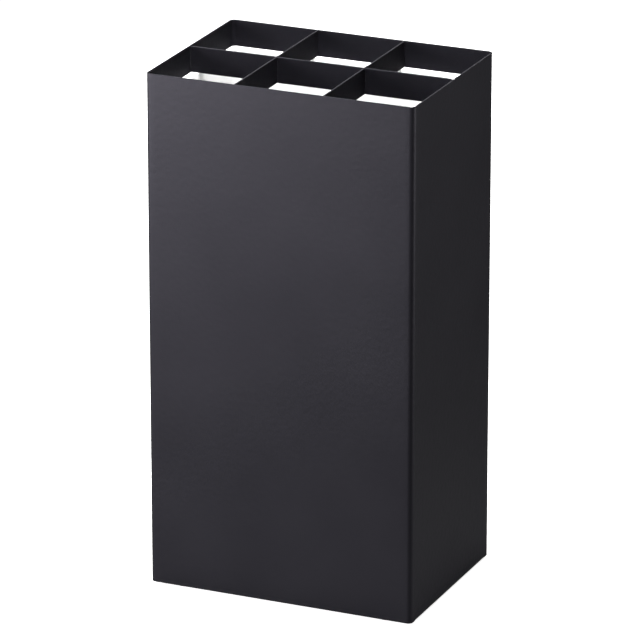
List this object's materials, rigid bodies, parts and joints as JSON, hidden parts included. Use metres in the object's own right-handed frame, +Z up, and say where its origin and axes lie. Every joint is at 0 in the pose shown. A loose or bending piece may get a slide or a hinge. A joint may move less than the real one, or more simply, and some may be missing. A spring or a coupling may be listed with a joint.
{
  "type": "umbrella stand",
  "caption": "Tall rectangular umbrella stand: a black steel sleeve with a lift-out divider grid resting on the rim of a white inner bucket that catches drips.",
  "frame": {"origin": "centre of the footprint, on the floor under the rubber pads", "axes": "+Z up, +X to the right seen from the front, -Y towards the front (a wide face)"},
  "size_m": [0.265, 0.19, 0.5],
  "materials": {
    "powder_coated_steel": "satin black powder coat with a fine grain",
    "white_plastic": "matt moulded polypropylene",
    "pad_rubber": "matt dark grey rubber"
  },
  "bodies": {
    "stand": {"outer_sleeve": "powder_coated_steel", "base_plate": "powder_coated_steel", "pad_front_left": "pad_rubber", "pad_front_right": "pad_rubber", "pad_back_left": "pad_rubber", "pad_back_right": "pad_rubber"},
    "bucket": {"inner_bucket": "white_plastic"},
    "grid": {"long_strip": "powder_coated_steel", "left_cross_strip": "powder_coated_steel", "right_cross_strip": "powder_coated_steel"}
  },
  "joints": [
    {"name": "bucket_lift", "type": "slide", "parent": "stand", "child": "bucket", "axis": [0, 0, 1], "range_m": [0, 0.51]},
    {"name": "grid_lift", "type": "slide", "parent": "bucket", "child": "grid", "axis": [0, 0, 1], "range_m": [0, 0.08]}
  ]
}
